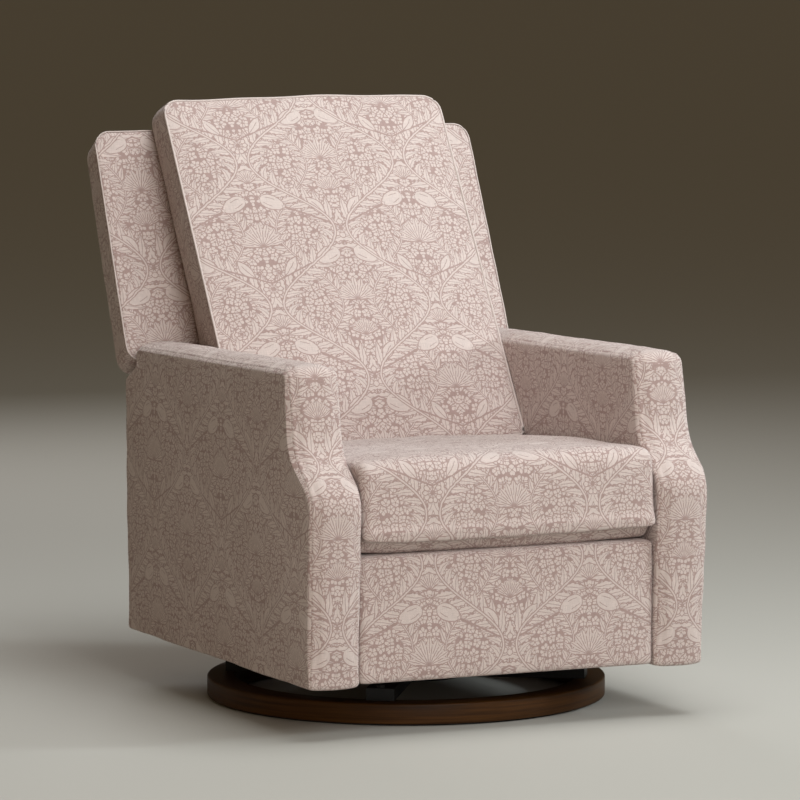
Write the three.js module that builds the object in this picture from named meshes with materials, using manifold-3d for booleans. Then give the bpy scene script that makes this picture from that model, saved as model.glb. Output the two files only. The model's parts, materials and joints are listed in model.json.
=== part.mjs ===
// Upholstered swivel glider with a reclining back and a fold-out footrest, in millimetres.
// +Z is up and the sitter faces -Y. The origin is the middle of the overall box, on the floor.
// Inside the chair group, y = 0 is the swivel axis and +Y is towards the back.
import * as THREE from "three";
import { mergeVertices } from "three/addons/utils/BufferGeometryUtils.js";
import Module from "manifold-3d";

const wasm = await Module();
wasm.setup();

// ---------------------------------------------------------------- driving dimensions
const ARM_OUTER = 385; // half the overall width
const ARM_INNER = 286; // half the space between the arms
const ARM_TOP = 628;
const BODY_BOTTOM = 94;
const BODY_FRONT = -421;
const BODY_REAR = 402;
const KNEE_FRONT = -434; // the arm's front leans forward as far as its knee
const GAP = 0.4; // between pieces that touch
const SWIVEL_AXIS_Y = -89.5; // puts the origin in the middle of the overall depth

const RING_RADIUS = 361;
const RING_WIDTH = 52;
const RING_TOP = 40;
const PAD_HEIGHT = 3;
const CROSS_TURN = THREE.MathUtils.degToRad(-33);
const CROSS_REACH = 328;
const CROSS_TOP = 62;
const BOLT_CIRCLE = 318;

const HANGER_X = 196; // inner face of each hanger bracket
const LINK_X = 206; // inner face of each glide link
const PLATE_X = 240; // inner face of each side plate
const STEEL = 4; // plate thickness
const GLIDE_Y = 150; // glide pivots, in front of and behind the swivel axis
const HANG_Z = 235; // upper glide pivots
const GLIDE_LENGTH = 110; // between the two pivots of a glide link
const STUD_RADIUS = 6;
const PIVOT_PLAY = 0.35;

const CUSHION_X = 281;
const CUSHION_FRONT = -435;
const CUSHION_REAR = 85;
const CUSHION_BOTTOM = 326;
const CUSHION_TOP = 474;
const RAIL_TOP = 318;
const RAIL_BOTTOM = 256;
const RAIL_DEPTH = 22;
const FRONT_RAIL_Y = -352;
const REAR_RAIL_Y = 196;

const RECLINE_Y = 260; // recline pivot
const RECLINE_Z = 340;
const LEAN = THREE.MathUtils.degToRad(26);
const SHELL_FRONT = -32; // the back's depths are measured from the pivot, square to its lean
const SHELL_REAR = 43;
const SHELL_TOP = 725;
const BACK_TOP = 737; // of the loose cushion in front of the shell
const WING_BOTTOM = 272;
const SHELL_BOTTOM = -22;

const FOLD_PIVOT = [-215, 308]; // y, z of the footrest's main pivot on the side plate
const CRANK_LENGTH = 185;
const CRANK_TAIL = 35; // the crank runs on past its far pivot to drive the panel's rod
const CRANK_ANGLE = THREE.MathUtils.degToRad(-60); // from +Y towards +Z, folded
const PANEL_PIVOT = [-355, 285];
const SECOND_PIVOT = 50; // between the two parallel cranks, along the long arm
const BAR = 9; // half the width of a linkage bar
const PANEL_BOTTOM = 101;
const PANEL_TOP = 321;
const PANEL_X = 282;

// ---------------------------------------------------------------- solids
function toSolid(geometry) {
  const bare = geometry.index ? geometry.toNonIndexed() : geometry.clone();
  bare.deleteAttribute("normal");
  bare.deleteAttribute("uv");
  const merged = mergeVertices(bare, 1e-3);
  return new wasm.Manifold(
    new wasm.Mesh({
      numProp: 3,
      vertProperties: merged.attributes.position.array,
      triVerts: new Uint32Array(merged.index.array),
    }),
  );
}

function toGeometry(solid) {
  const mesh = solid.getMesh();
  const positions = new Float32Array(mesh.numVert * 3);
  for (let i = 0; i < mesh.numVert; i++) {
    const start = i * mesh.numProp;
    positions.set(mesh.vertProperties.subarray(start, start + 3), i * 3);
  }
  const geometry = new THREE.BufferGeometry();
  geometry.setAttribute("position", new THREE.BufferAttribute(positions, 3));
  geometry.setIndex(new THREE.BufferAttribute(mesh.triVerts, 1));
  geometry.computeVertexNormals();
  return geometry;
}

function cut(body, ...tools) {
  return toGeometry(tools.reduce((solid, tool) => solid.subtract(toSolid(tool)), toSolid(body)));
}

function join(...bodies) {
  return toGeometry(bodies.map(toSolid).reduce((a, b) => a.add(b)));
}

function box(x0, x1, y0, y1, z0, z1) {
  const geometry = new THREE.BoxGeometry(x1 - x0, y1 - y0, z1 - z0);
  return geometry.translate((x0 + x1) / 2, (y0 + y1) / 2, (z0 + z1) / 2);
}

function rodX(radius, x0, x1, y, z, sides = 20) {
  const geometry = new THREE.CylinderGeometry(radius, radius, x1 - x0, sides);
  return geometry.rotateZ(Math.PI / 2).translate((x0 + x1) / 2, y, z);
}

function rodZ(radius, z0, z1, x = 0, y = 0, sides = 24) {
  const geometry = new THREE.CylinderGeometry(radius, radius, z1 - z0, sides);
  return geometry.rotateX(Math.PI / 2).translate(x, y, (z0 + z1) / 2);
}

function turned(profile, sides) {
  const points = profile.map(([r, z]) => new THREE.Vector2(r, z));
  return new THREE.LatheGeometry([...points, points[0]], sides).rotateX(Math.PI / 2);
}

// A closed outline through [u, v, radius] corners, each rounded by its radius.
function outline(corners) {
  const shape = new THREE.Shape();
  corners.forEach(([u, v, radius = 0], i) => {
    const corner = new THREE.Vector2(u, v);
    const before = new THREE.Vector2(...corners.at(i - 1));
    const after = new THREE.Vector2(...corners[(i + 1) % corners.length]);
    const enter = corner.clone().add(before.sub(corner).setLength(radius));
    const leave = corner.clone().add(after.sub(corner).setLength(radius));
    if (i === 0) shape.moveTo(enter.x, enter.y);
    else shape.lineTo(enter.x, enter.y);
    if (radius > 0) shape.quadraticCurveTo(corner.x, corner.y, leave.x, leave.y);
  });
  return shape;
}

// An outline in (y, z), given thickness from x0 to x1.
function plateX(shape, x0, x1, curveSegments = 5) {
  const depth = x1 - x0;
  const geometry = new THREE.ExtrudeGeometry(shape, { depth, bevelEnabled: false, curveSegments });
  const axes = new THREE.Matrix4().makeBasis(
    new THREE.Vector3(0, 1, 0),
    new THREE.Vector3(0, 0, 1),
    new THREE.Vector3(1, 0, 0),
  );
  return geometry.applyMatrix4(axes).translate(x0, 0, 0);
}

// An outline in (x, z), given thickness from y0 to y1.
function plateY(shape, y0, y1, curveSegments = 5) {
  const depth = y1 - y0;
  const geometry = new THREE.ExtrudeGeometry(shape, { depth, bevelEnabled: false, curveSegments });
  return geometry.rotateX(Math.PI / 2).translate(0, y1, 0);
}

// A flat bar in the (y, z) plane through its pivot points, with a clearance hole at each hole point.
function bar(from, to, halfWidth, x0, x1, holes) {
  const angle = Math.atan2(to[1] - from[1], to[0] - from[0]);
  const quarter = Math.PI / 2;
  const shape = new THREE.Shape();
  shape.absarc(to[0], to[1], halfWidth, angle - quarter, angle + quarter, false);
  shape.absarc(from[0], from[1], halfWidth, angle + quarter, angle + 3 * quarter, false);
  shape.closePath();
  for (const [y, z] of holes) {
    const hole = new THREE.Path();
    hole.absarc(y, z, STUD_RADIUS + PIVOT_PLAY, 0, 2 * Math.PI, true);
    shape.holes.push(hole);
  }
  return plateX(shape, x0, x1, 8);
}

// ---------------------------------------------------------------- scene graph
const finishes = {
  fabric: { color: 0xd3bdb4, roughness: 0.92, metalness: 0 },
  wood: { color: 0x6b4428, roughness: 0.45, metalness: 0 },
  timber: { color: 0xc7a878, roughness: 0.8, metalness: 0 },
  black_steel: { color: 0x15151a, roughness: 0.45, metalness: 0.6 },
  zinc: { color: 0x9a9b9d, roughness: 0.35, metalness: 0.9 },
  rubber: { color: 0x1b1b1b, roughness: 0.9, metalness: 0 },
  plastic: { color: 0x3a3532, roughness: 0.5, metalness: 0 },
};

function piece(group, name, finish, geometry) {
  const mesh = new THREE.Mesh(geometry, new THREE.MeshStandardMaterial(finishes[finish]));
  mesh.name = name;
  group.add(mesh);
  return mesh;
}

// Builds a piece for each side of the chair. The maker gets -1 for the -X side and +1 for the +X
// side, and returns a geometry that is already on that side.
function pair(group, name, finish, maker) {
  piece(group, name + "_left", finish, maker(-1));
  piece(group, name + "_right", finish, maker(1));
}

// The span from near to far, counted outwards from the middle, on the side that sign gives.
function span(sign, near, far) {
  return sign > 0 ? [near, far] : [-far, -near];
}

// ---------------------------------------------------------------- base
// One flat race of the swivel bearing.
function race(radius, low, high) {
  const bore = 44;
  return turned(
    [
      [bore, low],
      [radius, low],
      [radius, high],
      [bore, high],
    ],
    32,
  );
}

function addBase(group) {
  const inner = RING_RADIUS - RING_WIDTH;
  const edge = 2.5;
  const pad = [
    [inner + 12, 0],
    [RING_RADIUS - 12, 0],
    [RING_RADIUS - 12, PAD_HEIGHT],
    [inner + 12, PAD_HEIGHT],
  ];
  piece(group, "floor_pad", "rubber", turned(pad, 48));

  const wood = [
    [inner, PAD_HEIGHT + GAP],
    [RING_RADIUS - edge, PAD_HEIGHT + GAP],
    [RING_RADIUS, PAD_HEIGHT + GAP + edge],
    [RING_RADIUS, RING_TOP - edge],
    [RING_RADIUS - edge, RING_TOP],
    [inner, RING_TOP],
  ];
  const cross = new THREE.Group();
  cross.rotation.z = CROSS_TURN;
  group.add(cross);
  const shanks = [0, 1, 2, 3].map((i) => {
    const angle = (i * Math.PI) / 2;
    return rodZ(4.5, 18, 70, BOLT_CIRCLE * Math.cos(angle), BOLT_CIRCLE * Math.sin(angle), 12);
  });
  piece(cross, "base_ring", "wood", cut(turned(wood, 72), ...shanks));

  const armHalf = 25;
  const low = RING_TOP + GAP;
  const arms = join(
    box(-CROSS_REACH, CROSS_REACH, -armHalf, armHalf, low, CROSS_TOP),
    box(-armHalf, armHalf, -CROSS_REACH, CROSS_REACH, low, CROSS_TOP),
    rodZ(112, low, CROSS_TOP, 0, 0, 40),
  );
  piece(cross, "base_cross", "black_steel", cut(arms, ...shanks, rodZ(8.5, 30, 70)));
  shanks.forEach((_, i) => {
    const angle = (i * Math.PI) / 2;
    const x = BOLT_CIRCLE * Math.cos(angle);
    const y = BOLT_CIRCLE * Math.sin(angle);
    const bolt = join(
      rodZ(4, 20, CROSS_TOP + 2, x, y, 12),
      rodZ(8, CROSS_TOP + GAP, CROSS_TOP + 5, x, y, 6),
    );
    piece(cross, "ring_bolt_" + (i + 1), "zinc", bolt);
  });
  piece(group, "bearing_lower_race", "zinc", race(104, CROSS_TOP + GAP, CROSS_TOP + 8));
  const kingbolt = join(rodZ(8, 41, 90), rodZ(14, 86.5, 92, 0, 0, 6));
  piece(group, "swivel_bolt", "zinc", kingbolt);
}

// ---------------------------------------------------------------- swivel frame
function addSwivel(group) {
  const raceLow = CROSS_TOP + 8.6;
  piece(group, "bearing_upper_race", "zinc", race(108, raceLow, raceLow + 8));
  const plateLow = raceLow + 8 + GAP;
  const plateTop = plateLow + 6;
  const plate = cut(
    box(-HANGER_X - 8, HANGER_X + 8, -185, 185, plateLow, plateTop),
    rodZ(20, plateLow - 5, plateTop + 5),
  );
  piece(group, "swivel_plate", "black_steel", plate);
  // Each hanger bracket stands on the plate and carries a front and a rear glide shaft.
  pair(group, "hanger_bracket", "black_steel", (sign) => {
    const [x0, x1] = span(sign, HANGER_X, HANGER_X + STEEL);
    const low = plateTop + GAP;
    const top = HANG_Z + 14;
    const ear = 18;
    const shape = outline([
      [-180, low, 4],
      [180, low, 4],
      [GLIDE_Y + ear, top, 10],
      [GLIDE_Y - ear, top, 10],
      [GLIDE_Y - 50, low + 42, 12],
      [-GLIDE_Y + 50, low + 42, 12],
      [-GLIDE_Y + ear, top, 10],
      [-GLIDE_Y - ear, top, 10],
    ]);
    const bore = STUD_RADIUS + 2 + PIVOT_PLAY;
    const bores = [-GLIDE_Y, GLIDE_Y].map((y) => rodX(bore, x0 - 5, x1 + 5, y, HANG_Z));
    const foot = box(...span(sign, HANGER_X - 34, HANGER_X + 1), -178, 178, low, low + STEEL);
    return cut(join(plateX(shape, x0, x1), foot), ...bores);
  });
}

// ---------------------------------------------------------------- glide links
function addGlideLinks(group, end, y) {
  const shaft = STUD_RADIUS + 2;
  piece(group, end + "_glide_shaft", "zinc", rodX(shaft, -LINK_X - 9, LINK_X + 9, y, HANG_Z));
  pair(group, end + "_glide_link", "black_steel", (sign) => {
    const [x0, x1] = span(sign, LINK_X, LINK_X + STEEL + 1);
    const low = HANG_Z - GLIDE_LENGTH;
    const strap = bar([y, HANG_Z], [y, low], 15, x0, x1, []);
    const eye = rodX(shaft + GAP, x0 - 5, x1 + 5, y, HANG_Z);
    const bush = rodX(STUD_RADIUS + PIVOT_PLAY, x0 - 5, x1 + 5, y, low);
    return cut(strap, eye, bush);
  });
}

// ---------------------------------------------------------------- seat
// Points of the footrest linkage, folded, in (y, z).
const crankAim = [Math.cos(CRANK_ANGLE), Math.sin(CRANK_ANGLE)];
const along = (from, aim, distance) => [from[0] + aim[0] * distance, from[1] + aim[1] * distance];
const armPivot = along(FOLD_PIVOT, crankAim, CRANK_LENGTH);
const rodPivot = along(FOLD_PIVOT, crankAim, CRANK_LENGTH + CRANK_TAIL);
const armSpan = Math.hypot(PANEL_PIVOT[0] - armPivot[0], PANEL_PIVOT[1] - armPivot[1]);
const armAim = [(PANEL_PIVOT[0] - armPivot[0]) / armSpan, (PANEL_PIVOT[1] - armPivot[1]) / armSpan];
const secondPivot = along(FOLD_PIVOT, armAim, -SECOND_PIVOT);
const secondArmPivot = along(armPivot, armAim, -SECOND_PIVOT);
const panelRodPivot = along(PANEL_PIVOT, crankAim, CRANK_TAIL);

// Side lanes of the linkage, counted outwards from the side plate.
const LANE = 6;
const lane = (sign, n) => span(sign, PLATE_X + n * LANE + 1, PLATE_X + n * LANE + STEEL);

function stud(sign, fromLane, toLane, [y, z], radius = STUD_RADIUS) {
  return rodX(radius, ...span(sign, PLATE_X + fromLane * LANE + 1, PLATE_X + toLane * LANE + 5), y, z);
}

function addSeat(group) {
  pair(group, "side_plate", "black_steel", (sign) => {
    const [x0, x1] = span(sign, PLATE_X, PLATE_X + STEEL);
    const low = HANG_Z - GLIDE_LENGTH;
    const shape = outline([
      [-205, low - 16, 20],
      [190, low - 16, 20],
      [RECLINE_Y - 13, RECLINE_Z - 62, 16],
      [RECLINE_Y - 13, RECLINE_Z - 28, 4],
      [RECLINE_Y + 18, RECLINE_Z - 11, 8],
      [RECLINE_Y + 16, RECLINE_Z + 15, 10],
      [RECLINE_Y - 22, RECLINE_Z + 15, 10],
      [RECLINE_Y - 62, RAIL_TOP, 16],
      [-250, RAIL_TOP, 14],
      [-250, 262, 16],
    ]);
    const studs = [-GLIDE_Y, GLIDE_Y].map((y) =>
      rodX(STUD_RADIUS, ...span(sign, LINK_X - 3, PLATE_X + 1), y, low),
    );
    return join(
      plateX(shape, x0, x1),
      ...studs,
      stud(sign, 0, 1, FOLD_PIVOT),
      stud(sign, 0, 1, secondPivot),
      stud(sign, 0, 1, [RECLINE_Y, RECLINE_Z], STUD_RADIUS + 2),
    );
  });
  // A box beam ties each side plate to its arm, behind the footrest linkage.
  pair(group, "arm_spacer", "black_steel", (sign) => {
    const [x0, x1] = span(sign, PLATE_X + STEEL + GAP, ARM_INNER - GAP);
    return box(x0, x1, -35, 320, 150, 192);
  });

  const railX = PLATE_X - GAP;
  pair(group, "seat_side_rail", "timber", (sign) => {
    const [x0, x1] = span(sign, railX - RAIL_DEPTH, railX);
    return box(x0, x1, FRONT_RAIL_Y, REAR_RAIL_Y, RAIL_BOTTOM, RAIL_TOP);
  });
  const railInner = railX - RAIL_DEPTH - GAP;
  const frontRail = box(
    -railInner,
    railInner,
    FRONT_RAIL_Y,
    FRONT_RAIL_Y + RAIL_DEPTH,
    RAIL_BOTTOM,
    RAIL_TOP,
  );
  piece(group, "seat_front_rail", "timber", frontRail);
  const rearRail = box(
    -railInner,
    railInner,
    REAR_RAIL_Y - RAIL_DEPTH,
    REAR_RAIL_Y,
    RAIL_BOTTOM,
    RAIL_TOP,
  );
  piece(group, "seat_rear_rail", "timber", rearRail);
  [-165, -55, 55, 165].forEach((x, i) => {
    piece(group, "seat_spring_" + (i + 1), "zinc", zigzagSpring(x));
  });
  piece(group, "seat_cushion", "fabric", seatCushion());
  pair(group, "arm", "fabric", armPadding);
  pair(group, "arm_frame", "timber", armFrame);
  const rearPanel = outline([
    [-ARM_INNER + 4, BODY_BOTTOM + 4, 6],
    [ARM_INNER - 4, BODY_BOTTOM + 4, 6],
    [ARM_INNER - 4, 344, 6],
    [-ARM_INNER + 4, 344, 6],
  ]);
  piece(group, "rear_panel", "fabric", plateY(rearPanel, BODY_REAR - 24, BODY_REAR - 4));
}

// A sinuous seat spring: one wire that runs from the rear rail to the front rail in half loops.
function zigzagSpring(x) {
  const wire = 2;
  const z = RAIL_TOP + wire + GAP;
  const halfLoops = 16;
  const swing = 24;
  const ends = [FRONT_RAIL_Y + 8, REAR_RAIL_Y - 8];
  const points = [new THREE.Vector3(x, ends[0], z)];
  for (let i = 0; i <= halfLoops; i++) {
    const y = THREE.MathUtils.lerp(ends[0] + 12, ends[1] - 12, i / halfLoops);
    points.push(new THREE.Vector3(x + (i % 2 ? swing : -swing), y, z));
  }
  points.push(new THREE.Vector3(x, ends[1], z));
  const section = new THREE.Shape().absarc(0, 0, wire, 0, 2 * Math.PI, false);
  return new THREE.ExtrudeGeometry(section, {
    steps: halfLoops * 4,
    curveSegments: 3,
    extrudePath: new THREE.CatmullRomCurve3(points),
  });
}

function seatCushion() {
  const shape = outline([
    [CUSHION_FRONT + 7, CUSHION_BOTTOM, 10],
    [CUSHION_REAR, CUSHION_BOTTOM, 12],
    [CUSHION_REAR, CUSHION_TOP - 14, 24],
    [-150, CUSHION_TOP + 2, 90],
    [CUSHION_FRONT + 12, CUSHION_TOP - 2, 38],
    [CUSHION_FRONT, CUSHION_BOTTOM + 30, 14],
  ]);
  return plateX(shape, -CUSHION_X, CUSHION_X, 6);
}

// Arm outline in (y, z), pulled in by inset on every side but the floor side.
function armOutline(inset, bottom) {
  return outline([
    [BODY_REAR - inset, bottom, 4],
    [BODY_REAR - inset, 562 - inset, 6],
    [344 - inset, 590 - inset, 4],
    [358 - inset, ARM_TOP - 3 - inset, 14],
    [-337 + inset, ARM_TOP + 10 - inset, 16],
    [-366 + inset, 487 - inset / 2, 30],
    [KNEE_FRONT + inset, 420 - inset / 2, 30],
    [BODY_FRONT + inset, bottom, 4],
  ]);
}

const POCKET_Y = -238; // middle of the release handle
const POCKET_Z = 548;

function armPadding(sign) {
  const core = span(sign, 325, 345);
  const slot = plateX(armOutline(28, BODY_BOTTOM - 20), core[0] - GAP, core[1] + GAP, 3);
  const body = plateX(armOutline(0, BODY_BOTTOM), ...span(sign, ARM_INNER, ARM_OUTER), 6);
  if (sign > 0) return cut(body, slot);
  const pocket = box(-ARM_INNER - 27, -ARM_INNER + 5, POCKET_Y - 54, POCKET_Y + 54, 519, 577);
  return cut(body, slot, pocket);
}

function armFrame(sign) {
  return plateX(armOutline(28 + GAP, BODY_BOTTOM + 2), ...span(sign, 325, 345), 3);
}

// ---------------------------------------------------------------- release handle
function addReleaseCup(group) {
  const wall = 3;
  const back = -ARM_INNER - 26;
  const cup = cut(
    join(
      box(back, -ARM_INNER + 1, POCKET_Y - 53, POCKET_Y + 53, 520, 576),
      box(-ARM_INNER + GAP, -ARM_INNER + 3, POCKET_Y - 60, POCKET_Y + 60, 513, 583),
    ),
    box(back + wall, -ARM_INNER + 10, POCKET_Y - 50, POCKET_Y + 50, 523, 573),
  );
  piece(group, "release_cup", "plastic", cup);
}

function addReleaseHandle(group) {
  const x = -ARM_INNER - 8;
  const pin = new THREE.CylinderGeometry(3.2, 3.2, 98, 14).translate(x, POCKET_Y, POCKET_Z + 19);
  const paddle = join(
    pin,
    box(x - 2.5, x + 2.5, POCKET_Y - 44, POCKET_Y + 44, 531, POCKET_Z + 19),
    box(x - 8, x + 2.5, POCKET_Y - 44, POCKET_Y + 44, 528, 534),
  );
  piece(group, "release_handle", "plastic", paddle);
}

// ---------------------------------------------------------------- reclining back
// The back's own group turns with its lean: x across, y rearwards square to the back, z up the back.
function addBack(group) {
  const lean = new THREE.Group();
  lean.position.set(0, RECLINE_Y, RECLINE_Z);
  lean.rotation.x = -LEAN;
  group.add(lean);

  const frameX = 268; // outer face of the hidden frame, and how high and deep it lies in the shell
  const frameTop = SHELL_TOP - 36;
  const frameRear = 21;
  const stileInner = 232;
  const railLow = 40;
  const railHeight = 70;
  const shell = outline([
    [-CUSHION_X, SHELL_BOTTOM, 10],
    [CUSHION_X, SHELL_BOTTOM, 10],
    [CUSHION_X, WING_BOTTOM, 0],
    [ARM_OUTER - 1, WING_BOTTOM, 14],
    [ARM_OUTER - 1, SHELL_TOP - 3, 36],
    [0, SHELL_TOP + 3, 60],
    [-ARM_OUTER + 1, SHELL_TOP - 3, 36],
    [-ARM_OUTER + 1, WING_BOTTOM, 14],
    [-CUSHION_X, WING_BOTTOM, 0],
  ]);
  // Grooves in the shell take the frame. The two upright ones run out at the bottom, where the
  // side plates come in to the pivots.
  const groove = (x0, x1, z0, z1) => box(x0, x1, SHELL_FRONT - 20, frameRear, z0, z1);
  const grooves = [
    groove(-frameX, -stileInner + 1, SHELL_BOTTOM - 30, frameTop),
    groove(stileInner - 1, frameX, SHELL_BOTTOM - 30, frameTop),
    groove(-stileInner, stileInner, frameTop - railHeight - GAP, frameTop),
    groove(-stileInner, stileInner, railLow - GAP, railLow + railHeight + GAP),
  ];
  const body = plateY(shell, SHELL_FRONT, SHELL_REAR, 6);
  piece(lean, "back_shell", "fabric", cut(body, ...grooves));

  const front = SHELL_FRONT + 4;
  const rear = frameRear - GAP;
  pair(lean, "back_stile", "timber", (sign) => {
    const [x0, x1] = span(sign, stileInner, frameX - GAP);
    return box(x0, x1, front, rear, railLow, frameTop - GAP);
  });
  const rail = (z0, z1) => box(-stileInner + GAP, stileInner - GAP, front, rear, z0, z1);
  piece(lean, "back_top_rail", "timber", rail(frameTop - railHeight, frameTop - GAP));
  piece(lean, "back_bottom_rail", "timber", rail(railLow, railLow + railHeight));

  // A steel bracket on each stile reaches down to the recline pivot on the side plate.
  pair(lean, "recline_bracket", "black_steel", (sign) => {
    const [x0, x1] = lane(sign, 1);
    const shape = outline([
      [-14, -14, 8],
      [14, -14, 8],
      [17, 39.2, 0],
      [-24, 39.2, 0],
    ]);
    const foot = box(...span(sign, stileInner + 2, PLATE_X + LANE + 3), -24, 17, 35, 39.2);
    const bore = rodX(STUD_RADIUS + 2 + PIVOT_PLAY, x0 - 5, x1 + 5, 0, 0);
    return cut(join(plateX(shape, x0, x1), foot), bore);
  });

  const cushion = outline([
    [SHELL_FRONT - 168, 28, 26],
    [SHELL_FRONT - GAP, 22, 14],
    [SHELL_FRONT - GAP, BACK_TOP - 6, 22],
    [SHELL_FRONT - 108, BACK_TOP, 26],
  ]);
  piece(lean, "back_cushion", "fabric", plateX(cushion, -CUSHION_X + 2, CUSHION_X - 2, 6));
}

// ---------------------------------------------------------------- footrest
function addCranks(group) {
  pair(group, "footrest_crank", "black_steel", (sign) => {
    const [x0, x1] = lane(sign, 1);
    const strap = bar(FOLD_PIVOT, rodPivot, BAR, x0, x1, [FOLD_PIVOT]);
    return join(strap, stud(sign, 1, 2, armPivot, 5), stud(sign, 1, 4, rodPivot, 4.5));
  });
}

function addSecondCranks(group) {
  pair(group, "footrest_guide", "black_steel", (sign) => {
    const [x0, x1] = lane(sign, 1);
    const strap = bar(secondPivot, secondArmPivot, BAR, x0, x1, [secondPivot]);
    return join(strap, stud(sign, 1, 2, secondArmPivot, 5));
  });
}

function addFootrestArms(group) {
  pair(group, "footrest_arm", "black_steel", (sign) => {
    const [x0, x1] = lane(sign, 2);
    const strap = bar(secondArmPivot, PANEL_PIVOT, BAR, x0, x1, [armPivot, secondArmPivot]);
    return join(strap, stud(sign, 2, 3, PANEL_PIVOT, 5));
  });
}

function addPanelRods(group) {
  pair(group, "footrest_rod", "black_steel", (sign) => {
    const [x0, x1] = lane(sign, 4);
    return bar(rodPivot, panelRodPivot, 7.5, x0, x1, [rodPivot, panelRodPivot]);
  });
}

function addPanel(group) {
  const boardRear = -369;
  pair(group, "footrest_bracket", "black_steel", (sign) => {
    const [x0, x1] = lane(sign, 3);
    const shape = outline([
      [boardRear - GAP, 306, 3],
      [boardRear - GAP, 232, 3],
      [panelRodPivot[0] + 8, panelRodPivot[1] - 10, 8],
      [panelRodPivot[0] + 9, panelRodPivot[1] + 8, 6],
      [PANEL_PIVOT[0] + 10, PANEL_PIVOT[1] + 10, 8],
    ]);
    const plate = plateX(shape, x0, x1);
    const bore = rodX(STUD_RADIUS + PIVOT_PLAY, x0 - 5, x1 + 5, ...PANEL_PIVOT);
    return join(cut(plate, bore), stud(sign, 3, 4, panelRodPivot, 4.5));
  });
  const board = box(-PANEL_X + 8, PANEL_X - 8, boardRear - 12, boardRear - 2 * GAP, 107, PANEL_TOP - 5);
  piece(group, "footrest_board", "timber", board);
  const pad = outline([
    [-PANEL_X, PANEL_BOTTOM, 8],
    [PANEL_X, PANEL_BOTTOM, 8],
    [PANEL_X, PANEL_TOP, 8],
    [-PANEL_X, PANEL_TOP, 8],
  ]);
  const padFront = BODY_FRONT + 7;
  piece(group, "footrest_pad", "fabric", plateY(pad, padFront, boardRear - 12 - GAP));
}

// ---------------------------------------------------------------- assembly
const chair = new THREE.Group();
chair.position.y = SWIVEL_AXIS_Y;
addBase(chair);
addSwivel(chair);
addGlideLinks(chair, "front", -GLIDE_Y);
addGlideLinks(chair, "rear", GLIDE_Y);
addSeat(chair);
addReleaseCup(chair);
addReleaseHandle(chair);
addBack(chair);
addCranks(chair);
addSecondCranks(chair);
addFootrestArms(chair);
addPanelRods(chair);
addPanel(chair);

const root = new THREE.Group();
root.add(chair);

export default root;
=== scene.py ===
"""Upholstered swivel glider with a reclining back and a fold-out footrest.

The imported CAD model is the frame. This script covers it with cushions, padded arms, a shell, piping
and a wooden ring, rounds the edges of its steel and plastic parts, and adds materials, lights and a
camera. Sizes are in metres, unless a name ends in _MM. The print is drawn in millimetres.
"""

import json
import math

import bmesh
import bpy
import numpy as np
from mathutils import Matrix, Vector


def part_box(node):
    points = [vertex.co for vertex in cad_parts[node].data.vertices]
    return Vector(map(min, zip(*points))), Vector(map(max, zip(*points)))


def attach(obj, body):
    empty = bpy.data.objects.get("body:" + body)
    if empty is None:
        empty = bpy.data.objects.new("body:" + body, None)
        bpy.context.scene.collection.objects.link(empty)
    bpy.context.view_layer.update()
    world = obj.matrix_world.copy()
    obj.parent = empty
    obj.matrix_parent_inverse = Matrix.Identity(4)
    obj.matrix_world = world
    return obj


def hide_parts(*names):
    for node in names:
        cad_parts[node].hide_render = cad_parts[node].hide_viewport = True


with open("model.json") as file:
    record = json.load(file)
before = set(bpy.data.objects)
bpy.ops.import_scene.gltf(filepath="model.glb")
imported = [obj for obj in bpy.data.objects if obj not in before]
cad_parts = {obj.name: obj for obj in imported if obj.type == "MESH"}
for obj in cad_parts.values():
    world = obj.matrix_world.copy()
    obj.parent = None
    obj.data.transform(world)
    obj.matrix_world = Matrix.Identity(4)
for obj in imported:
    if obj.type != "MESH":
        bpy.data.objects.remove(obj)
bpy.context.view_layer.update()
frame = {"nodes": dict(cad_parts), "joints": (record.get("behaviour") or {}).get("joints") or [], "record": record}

# -------- sizes taken from the frame
MM = 0.001
joints = {joint["name"]: joint for joint in frame["joints"]}
swivel_y = joints["swivel"]["pos_m"][1]
recline_at = Vector(joints["recline"]["pos_m"])
LEAN = math.radians(26)  # of the back, from upright

CELL = 0.009  # side of an upholstery quad before it is subdivided
PIPING = 0.0020  # radius
SEAM_DEPTH = 0.0011
SEAM_WIDTH = 0.0013
EDGE_CHANGE = 0.07  # height over which a slab's bottom edge becomes its upper edge
FACE_RINGS = 18  # rings of points on each face of a slab
ROUNDING_RINGS = 15  # and on the rounding beside it
PUCKER = 0.047  # wavelength of the fabric's fine unevenness
PUCKER_HEIGHT = 0.0006

CLOTH_FRAMES = 20

PRINT_WIDTH_MM = 310.0
PRINT_HEIGHT_MM = 300.0


# -------- meshes
def unit(vectors):
    length = np.linalg.norm(vectors, axis=-1, keepdims=True)
    return vectors / np.maximum(length, 1e-9)


def make_mesh(name, points, faces, face_uvs=None, smooth=True):
    """A mesh object; face_uvs holds one (u, v) in metres for each corner of each face."""
    mesh = bpy.data.meshes.new(name)
    mesh.from_pydata([tuple(p) for p in points], [], [tuple(f) for f in faces])
    if face_uvs is not None:
        layer = mesh.uv_layers.new(name="cloth")
        flat = np.concatenate([np.asarray(uv, float).reshape(-1) for uv in face_uvs])
        layer.data.foreach_set("uv", flat.astype(np.float32))
    mesh.polygons.foreach_set("use_smooth", [smooth] * len(mesh.polygons))
    mesh.validate()
    piece = bpy.data.objects.new(name, mesh)
    bpy.context.scene.collection.objects.link(piece)
    return piece


def read_points(piece):
    points = np.zeros(len(piece.data.vertices) * 3, np.float32)
    piece.data.vertices.foreach_get("co", points)
    return points.reshape(-1, 3).astype(float)


def write_points(piece, points):
    piece.data.vertices.foreach_set("co", points.astype(np.float32).ravel())
    piece.data.update()


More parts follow.
